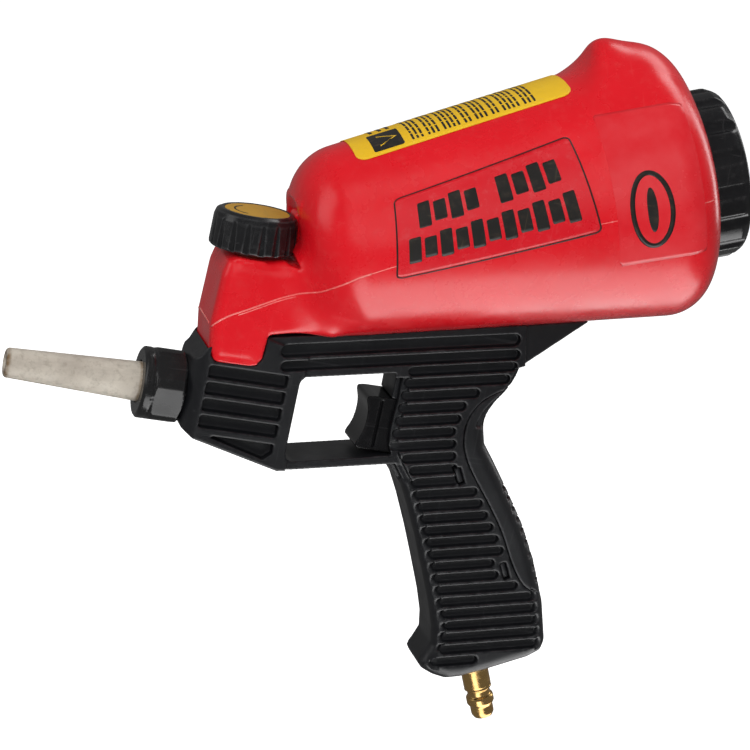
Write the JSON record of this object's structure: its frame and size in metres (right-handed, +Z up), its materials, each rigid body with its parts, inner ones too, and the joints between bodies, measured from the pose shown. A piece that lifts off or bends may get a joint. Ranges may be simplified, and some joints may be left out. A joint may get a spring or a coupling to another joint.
{
  "type": "gravity-feed sandblaster gun",
  "caption": "Hand-held gravity-feed sandblaster gun: a red hopper tank on a black pistol grip with a trigger, flow knob, ceramic nozzle and brass air plug.",
  "frame": {"origin": "centre of the blast nozzle's outlet", "axes": "+X along the blast bore from the outlet towards the rear, +Z up, the gun's left side faces -Y"},
  "size_m": [0.2648, 0.0992, 0.271],
  "materials": {
    "nozzle_ceramic": "unglazed off-white ceramic, dusty, worn at the outlet",
    "nut_black": "semi-gloss black moulded nylon",
    "tank_red": "bright red blow-moulded polyethylene, semi-gloss",
    "cap_black": "glossy black moulded plastic",
    "knob_black": "semi-gloss black moulded plastic",
    "knob_yellow": "printed golden yellow disc",
    "housing_black": "satin charcoal glass-filled nylon",
    "strap_black": "satin charcoal moulded grip",
    "trigger_black": "glossy black moulded plastic",
    "label_yellow": "matt yellow printed film",
    "label_red": null,
    "plug_brass": "turned brass, lightly tarnished",
    "fitting_brass": "turned brass",
    "valve_aluminium": "turned aluminium",
    "stem_steel": "turned steel",
    "seal_rubber": "black nitrile rubber"
  },
  "bodies": {
    "handle": {"mixing_chamber": "valve_aluminium", "air_jet": "fitting_brass", "spout_seal": "seal_rubber", "tank": "tank_red", "stem_bushing": "fitting_brass", "stem_seal": "seal_rubber", "seat_plate": "stem_steel", "handle_housing": "housing_black", "back_strap": "strap_black", "valve_body": "valve_aluminium", "pin_seal": "seal_rubber", "valve_spring": "stem_steel", "valve_plug": "valve_aluminium", "feed_pipe": "valve_aluminium", "supply_pipe": "valve_aluminium", "inlet_adapter": "fitting_brass", "air_plug": "plug_brass", "tail_screw": "stem_steel", "info_label": "label_yellow", "side_label": "label_red"},
    "trigger": {"trigger": "trigger_black"},
    "valve_pin": {"valve_pin": "fitting_brass", "poppet_seal": "seal_rubber"},
    "flow_knob": {"flow_knob": "knob_black", "knob_disc": "knob_yellow", "knob_screw": "stem_steel", "valve_stem": "stem_steel", "metering_disc": "fitting_brass"},
    "nozzle": {"nozzle": "nozzle_ceramic", "nozzle_seal": "seal_rubber"},
    "nozzle_nut": {"nozzle_nut": "nut_black"},
    "cap_gasket": {"cap_gasket": "seal_rubber"},
    "filler_cap": {"filler_cap": "cap_black"}
  },
  "joints": [
    {"name": "trigger_pull", "type": "slide", "parent": "handle", "child": "trigger", "axis": [1, 0, 0], "range_m": [0, 0.005], "stiffness_N_per_m": 1500, "springref_m": -0.003, "deforming": ["valve_spring"]},
    {"name": "pin_slide", "type": "slide", "parent": "handle", "child": "valve_pin", "axis": [1, 0, 0], "range_m": [0, 0.005]},
    {"name": "knob_turn", "type": "hinge", "parent": "handle", "child": "flow_knob", "pos_m": [0.0845, 0, 0], "axis": [-0.0523, 0, 0.9986], "range_deg": [0, 180]},
    {"name": "nozzle_slide", "type": "slide", "parent": "handle", "child": "nozzle", "axis": [-1, 0, 0], "range_m": [0, 0.0075]},
    {"name": "nut_turn", "type": "hinge", "parent": "nozzle", "child": "nozzle_nut", "pos_m": [0.0495, 0, 0], "axis": [-1, 0, 0], "range_deg": [0, 1800]},
    {"name": "gasket_slide", "type": "slide", "parent": "handle", "child": "cap_gasket", "axis": [0.9412, 0, 0.3379], "range_m": [0, 0.01]},
    {"name": "cap_turn", "type": "hinge", "parent": "cap_gasket", "child": "filler_cap", "pos_m": [0.24124, 0, 0.10896], "axis": [0.9412, 0, 0.3379], "range_deg": [0, 900]}
  ],
  "couplings": [
    {"joint": "pin_slide", "follows": "trigger_pull", "ratio": 1},
    {"joint": "nut_turn", "follows": "nozzle_slide", "rad_per_m": 4188.7},
    {"joint": "cap_turn", "follows": "gasket_slide", "rad_per_m": 1570.8}
  ]
}
